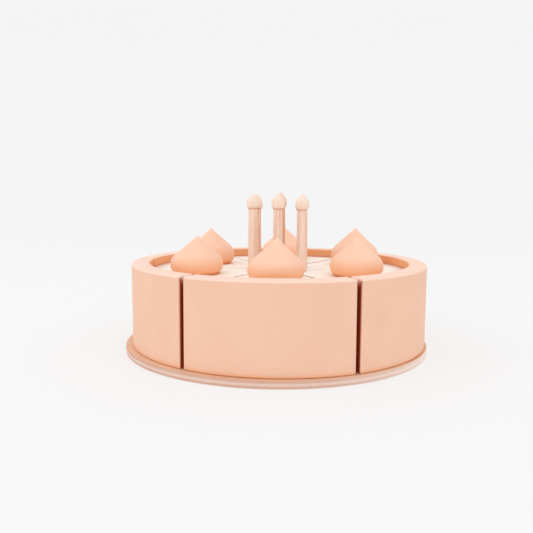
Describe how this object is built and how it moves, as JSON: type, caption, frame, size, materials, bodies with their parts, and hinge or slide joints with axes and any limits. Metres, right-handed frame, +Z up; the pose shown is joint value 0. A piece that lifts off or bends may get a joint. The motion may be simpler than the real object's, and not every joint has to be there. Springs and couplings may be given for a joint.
{
  "type": "wooden toy birthday cake",
  "caption": "Round wooden toy birthday cake of wedge slices with a raised rim on a thin plywood disc, with turned onion-shaped dollops and turned candles.",
  "frame": {"origin": "centre of the plywood disc's underside, which is also the bottom centre of the whole toy", "axes": "+Z up, out of the cake's top; one slice faces -Y, squarely, with the others about every 60 degrees round +Z"},
  "size_m": [0.1856, 0.1856, 0.0956],
  "materials": {
    "slice_wood": "thin matt peach stain on smooth sanded wood, with a paler cream recess",
    "dollop_wood": "turned wood with a smooth satin peach stain",
    "candle_wood": "turned dowel in pale pinkish natural wood, fine grain, satin",
    "plywood": "thin sanded plywood with light and dark plies showing at its edge"
  },
  "bodies": {
    "root": {"disc": "plywood", "slice_1": "slice_wood", "slice_2": "slice_wood", "slice_3": "slice_wood", "slice_4": "slice_wood", "slice_5": "slice_wood", "slice_6": "slice_wood", "dollop_1": "dollop_wood", "dollop_2": "dollop_wood", "dollop_3": "dollop_wood", "dollop_4": "dollop_wood", "dollop_5": "dollop_wood", "dollop_6": "dollop_wood", "candle_1": "candle_wood", "candle_2": "candle_wood", "candle_3": "candle_wood", "candle_4": "candle_wood", "candle_5": "candle_wood", "candle_6": "candle_wood"}
  },
  "joints": []
}
